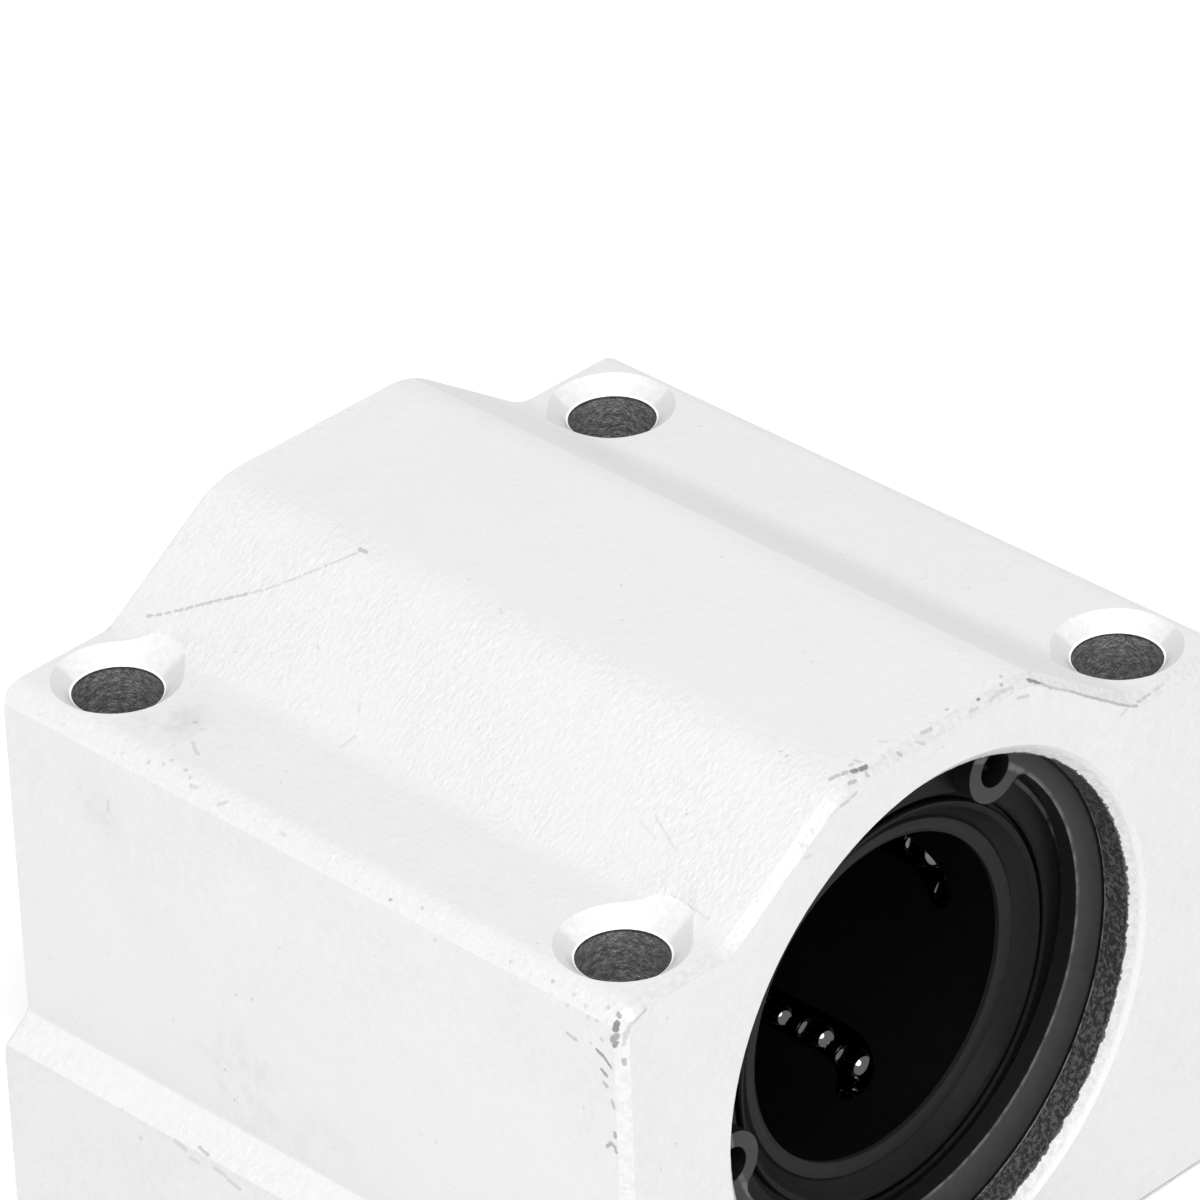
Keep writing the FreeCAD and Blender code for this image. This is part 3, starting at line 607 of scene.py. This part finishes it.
def ring_steel():
    """Oiled spring steel, with painted shade on its inner wall, a painted highlight along the inner edge of its face
    and a painted shadow line round its outer border.
    """
    m = Mat("oiled_spring_steel")
    b = m.b
    n = m.noise(2600.0, 3.0, 0.55)
    x, y, z = m.xyz(m.pos())
    base = m.mix(m.ramp(n, 0.3, 0.7), grey(0.034), grey(0.042))
    ay = m.math("ABSOLUTE", y)
    face = m.ramp(ay, RING_FACE - 0.00007, RING_FACE - 0.00003)
    g = math.radians(RING_ECC_ANGLE)
    flat = m.vec("MULTIPLY", m.pos(), (1.0, 0.0, 1.0))
    side = m.math("SIGN", y)
    cx = m.math("MULTIPLY", side, -RING_ECC * math.cos(g))
    ux, uy, uz = m.xyz(flat)
    d = m.math("SQRT", m.math("ADD", m.math("POWER", m.math("SUBTRACT", ux, cx), 2.0),
                              m.math("POWER", m.math("SUBTRACT", uz, AXIS_Z + RING_ECC * math.sin(g)), 2.0)))
    # Painted shade: the ring's inner wall and back, away from its face, are coloured near black.
    base = m.mix(m.ramp(face, 0.0, 1.0, 1.0, 0.0), base, grey(0.006))
    # Painted highlight: a thin light line on the face along the ring's inner edge.
    edge_highlight = m.math("MULTIPLY", m.ramp(m.math("ABSOLUTE", m.math("SUBTRACT", d, 0.0143)), 0.00008, 0.00030, 1.0, 0.0),
                 m.ramp(m.noise(1500.0, 2.0), 0.35, 0.6, 0.3, 1.0))
    edge_highlight = m.math("MULTIPLY", edge_highlight, face)
    # Painted shadow: a dark line on the face at the ring's outer border, where it meets the groove.
    rim = m.math("MULTIPLY", m.ramp(m.radius(), 0.01602, 0.01612), face)
    base = m.mix(rim, base, grey(0.002))
    base = m.mix(edge_highlight, base, grey(0.13))
    m.put(b.inputs["Base Color"], base)
    b.inputs["Metallic"].default_value = 0.25
    b.inputs["Specular IOR Level"].default_value = 0.35
    m.put(b.inputs["Roughness"], m.ramp(n, 0.3, 0.7, 0.55, 0.65))
    m.put(b.inputs["Normal"], m.bump(n, 0.25, 0.00005))
    return m.m


def stop_steel():
    """Blackened stop ring with one thin painted highlight line round its face."""
    m = Mat("blackened_steel")
    b = m.b
    n = m.noise(3000.0, 2.0, 0.6)
    r = m.radius()
    base = m.mix(m.ramp(n, 0.3, 0.7), grey(0.003), grey(0.006))
    # Painted highlight: a thin light line round the face.
    line = m.math("MULTIPLY", m.ramp(m.math("ABSOLUTE", m.math("SUBTRACT", r, 0.01432)), 0.00009, 0.00017, 1.0, 0.0),
                  m.ramp(m.noise(1600.0, 2.0), 0.36, 0.6, 0.25, 1.0))
    base = m.mix(line, base, grey(0.07))
    m.put(b.inputs["Base Color"], base)
    b.inputs["Metallic"].default_value = 0.3
    b.inputs["Specular IOR Level"].default_value = 0.12
    m.put(b.inputs["Roughness"], m.ramp(n, 0.3, 0.7, 0.42, 0.52))
    m.put(b.inputs["Normal"], m.bump(n, 0.2, 0.00005))
    return m.m


def seal_rubber():
    """Moulded black rubber, with a painted sheen that lightens its colour towards the lip."""
    m = Mat("black_rubber")
    b = m.b
    n = m.noise(1800.0, 3.0, 0.55)
    r = m.radius()
    base = m.mix(m.ramp(n, 0.3, 0.7), grey(0.003), grey(0.005))
    # Painted sheen: the colour lightens towards the lip.
    base = m.mix(m.ramp(r, 0.0100, 0.0122, 1.0, 0.0, smooth=False), base, grey(0.016))
    m.put(b.inputs["Base Color"], base)
    b.inputs["Specular IOR Level"].default_value = 0.10
    m.put(b.inputs["Roughness"], m.ramp(n, 0.3, 0.7, 0.38, 0.48))
    m.put(b.inputs["Normal"], m.bump(n, 0.25, 0.00006))
    return m.m


def plain(name, col, metallic, rough, scale=4000.0, bump=0.15, dist=0.00005, spec=0.5, vary=0.25):
    m = Mat(name)
    b = m.b
    n = m.noise(scale, 3.0, 0.55)
    m.put(b.inputs["Base Color"], m.mix(m.ramp(n, 0.3, 0.7), grey(col * (1 - vary)), grey(min(1.0, col * (1 + vary)))))
    b.inputs["Metallic"].default_value = metallic
    b.inputs["Specular IOR Level"].default_value = spec
    m.put(b.inputs["Roughness"], m.ramp(m.noise(scale * 0.3, 2.0), 0.3, 0.7, rough * 0.88, min(1.0, rough * 1.12)))
    m.put(b.inputs["Normal"], m.bump(n, bump, dist))
    return m.m


side_zone = lambda m: m.ramp(m.xyz(m.pos())[2], 0.0333, 0.0346, 0.0, 0.35)


def shoulder_zone(m):
    x, y, z = m.xyz(m.pos())
    return m.ramp(m.math("ABSOLUTE", x), 0.0228, 0.0243, 0.0, 0.45)


def top_zone(m):
    x, y, z = m.xyz(m.pos())
    end = m.ramp(m.math("ABSOLUTE", y), 0.0222, 0.0242, 0.0, 0.55)
    return m.math("MAXIMUM", end, m.near((-8.0, -23.9, 41.0), 0.6, 2.4, 0.8))


def flank_zone(m):
    x, y, z = m.xyz(m.pos())
    return m.ramp(m.math("ABSOLUTE", y), 0.0233, 0.0243, 0.0, 0.35)


def right_slope_shade_zone(m):
    """The right slope: painted shade, a darker tone where the slope faces away from the lamp."""
    x, y, z = m.xyz(m.pos())
    return m.math("MULTIPLY", m.ramp(x, 0.0054, 0.0070), m.ramp(x, 0.0128, 0.0150, 1.0, 0.0))


def low_zone(m):
    """The lower part of the side, a shade duller."""
    x, y, z = m.xyz(m.pos())
    return m.ramp(z, 0.0150, 0.0300, 1.0, 0.0)


# Each face of the housing has its own alloy tone, set to the brightness that face shows under the lamps: painted light
# and shade across the faces. The grain, specks, smudges and marks are the alloy's own.
HOUSING = {
    "plain": aluminium("blasted_alloy", grain=0.7),
    "side": aluminium("blasted_alloy_side", tone=0.684, grain=0.75, marks=SIDE_MARKS, specks=0.6, speck_zone=side_zone,
                      stretch=(1.0, 1.3, 1.2), scale=1700.0, zones=[(low_zone, 0.990)],
                      smudges=[((-25.0, 5.5, 16.5), 1.0, 5.5, 0.12), ((-25.0, -0.5, 14.5), 0.5, 4.0, 0.10),
                               ((-25, 17.0, 30.0), 0.6, 3.0, 0.07)]),
    "flange": aluminium("blasted_alloy_flange", tone=0.668, grain=0.7, marks=LEDGE_MARKS),
    "ledge": aluminium("blasted_alloy_ledge", tone=0.750, grain=0.8, marks=LEDGE_MARKS),
    "shoulder": aluminium("blasted_alloy_shoulder", tone=0.730, grain=0.7, scale=1700.0, marks=SHOULDER_MARKS, specks=0.8,
                          speck_zone=shoulder_zone, smudges=[((-21.0, 14.5, 35.0), 0.5, 3.2, 0.14)]),
    "flank": aluminium("blasted_alloy_flank", tone=0.742, grain=1.0, marks=FLANK_MARKS, specks=0.4,
                       speck_zone=flank_zone, scale=2000.0, stretch=(1.0, 1.75, 1.3)),
    "top": aluminium("milled_alloy_top", tone=0.740, grain=0.5, scale=1900.0, marks=TOP_MARKS, specks=0.8, speck_zone=top_zone),
    "front": aluminium("sawn_alloy_face", tone=0.676, grain=0.75, marks=FRONT_MARKS, stretch=(1.0, 1.0, 1.0),
                       scale=2000.0),
    "right": aluminium("blasted_alloy_right", tone=0.728, grain=0.5, scale=1900.0, marks=RIGHT_MARKS,
                       zones=[(right_slope_shade_zone, 0.932)]),
    "edge": edge_metal(EDGE_MARKS),
    "bore": bore_metal(),
    "mouth": mouth_metal(),
    "groove": groove_metal(),
    "hole": hole_metal(),
    "sink": sink_metal(),
}
RING = ring_steel()
SLEEVE = plain("ground_steel", 0.3, 0.9, 0.3)
STOP = stop_steel()
# Black resin retainer, darkened below its own colour to stand for the shade inside the bushing: painted shade.
CAGE = plain("black_resin", 0.0025, 0.0, 0.5, spec=0.06)
SEAL = seal_rubber()
# The balls' steel is coloured dark to stand for the shade inside the bushing: painted shade.
BALL = plain("polished_ball", 0.13, 1.0, 0.045, bump=0.01, vary=0.02)


def dress(node, *mats):
    o = nodes[node]
    o.data.materials.clear()
    for m in mats:
        o.data.materials.append(m)
    return o


keys = list(HOUSING)
hous = dress("housing", *HOUSING.values())
for p in hous.data.polygons:
    c, n = p.center, p.normal
    r = math.hypot(c.x, c.z - AXIS_Z)
    ay, hr = abs(c.y), math.hypot(abs(c.x) - 0.020, abs(c.y) - 0.020)
    radial = (n.x * c.x + n.z * (c.z - AXIS_Z)) / max(r, 1e-9)
    k = "plain"
    if r < 0.01712 and ay < HALF_L - 1e-5 and (radial < -0.2 or r < 0.0169):
        if ay > HALF_L - MOUTH_DEPTH:
            k = "mouth"
        elif 0.02097 < ay < 0.02229 and r > 0.0162:
            k = "groove"
        elif ay > 0.0222:
            k = "bore"
        else:
            k = "groove"
    elif hr < 0.00267 and abs(n.z) < 0.3 and 0.0005 < c.z < 0.0345:
        k = "hole"
    elif hr < 0.0042 and 0.2 < abs(n.z) < 0.93 and (0.0339 < c.z < 0.0365 or c.z < 0.0008) and ay < 0.0238 \
            and (Vector((c.x - math.copysign(0.02, c.x), c.y - math.copysign(0.02, c.y), 0)).normalized().dot(
                Vector((n.x, n.y, 0))) < -0.3):
        k = "sink"
    elif abs(n.y) > 0.9:
        k = "front" if n.y < 0 else "plain"
    elif 0.15 < abs(n.y) <= 0.9 and ay > HALF_L - 0.0007:
        k = "edge"
    elif n.x < -0.95 and c.x < -0.0245 and c.z > 0.0125:
        k = "side"
    elif n.x < -0.1 and c.z > 0.0105 and c.z < 0.0135 and c.x < -0.0247:
        k = "flange" if c.x < -0.0267 else "ledge"
    elif c.x < -0.0266 and n.x < -0.9:
        k = "flange"
    elif c.x < -0.016 and c.z > 0.0332 and (n.z > 0.93 or c.x < -0.0232):
        k = "shoulder"
    elif c.z > 0.0348 and n.x < -0.12:
        k = "flank"
    elif c.z > 0.0395 and n.z > 0.93:
        k = "top"
    elif c.x > 0.007 and c.z > 0.034:
        k = "right"
    p.material_index = keys.index(k)
for n in nodes:
    if n.endswith("retaining_ring"):
        dress(n, RING)
    elif n == "bearing_sleeve":
        dress(n, SLEEVE)
    elif n.endswith("stop_ring"):
        dress(n, STOP)
    elif n == "ball_retainer":
        dress(n, CAGE)
    elif n.endswith("seal"):
        dress(n, SEAL)
    elif n.endswith("balls"):
        dress(n, BALL)

# ---------------------------------------------------------------- floor and light
mesh = bpy.data.meshes.new("floor")
bm = bmesh.new()
s = 6.0
bm.faces.new([bm.verts.new(v) for v in ((-s, -s, 0), (s, -s, 0), (s, s, 0), (-s, s, 0))])
bm.to_mesh(mesh)
bm.free()
floor = bpy.data.objects.new("floor", mesh)
scene.collection.objects.link(floor)
fm = Mat("floor_white")
fm.b.inputs["Base Color"].default_value = (1.0, 1.0, 1.0, 1)
fm.b.inputs["Roughness"].default_value = 0.9
fm.b.inputs["Specular IOR Level"].default_value = 0.2
mesh.materials.append(fm.m)
floor.location.z = -0.00002

world = bpy.data.worlds.new("studio")
scene.world = world
world.use_nodes = True
bg = world.node_tree.nodes["Background"]
bg.inputs[0].default_value = (1, 1, 1, 1)
bg.inputs[1].default_value = 0.85


def area(name, direction, dist, size, power):
    d = bpy.data.lights.new(name, "AREA")
    d.shape = "DISK"
    d.size = size
    d.energy = power
    o = bpy.data.objects.new(name, d)
    scene.collection.objects.link(o)
    v = Vector(direction).normalized()
    o.location = v * dist + Vector((0, 0, 0.02))
    o.rotation_euler = (-v).to_track_quat("-Z", "Y").to_euler()
    return o


area("key", (-0.431, -0.459, 0.777), 1.2, 0.55, 8.2)
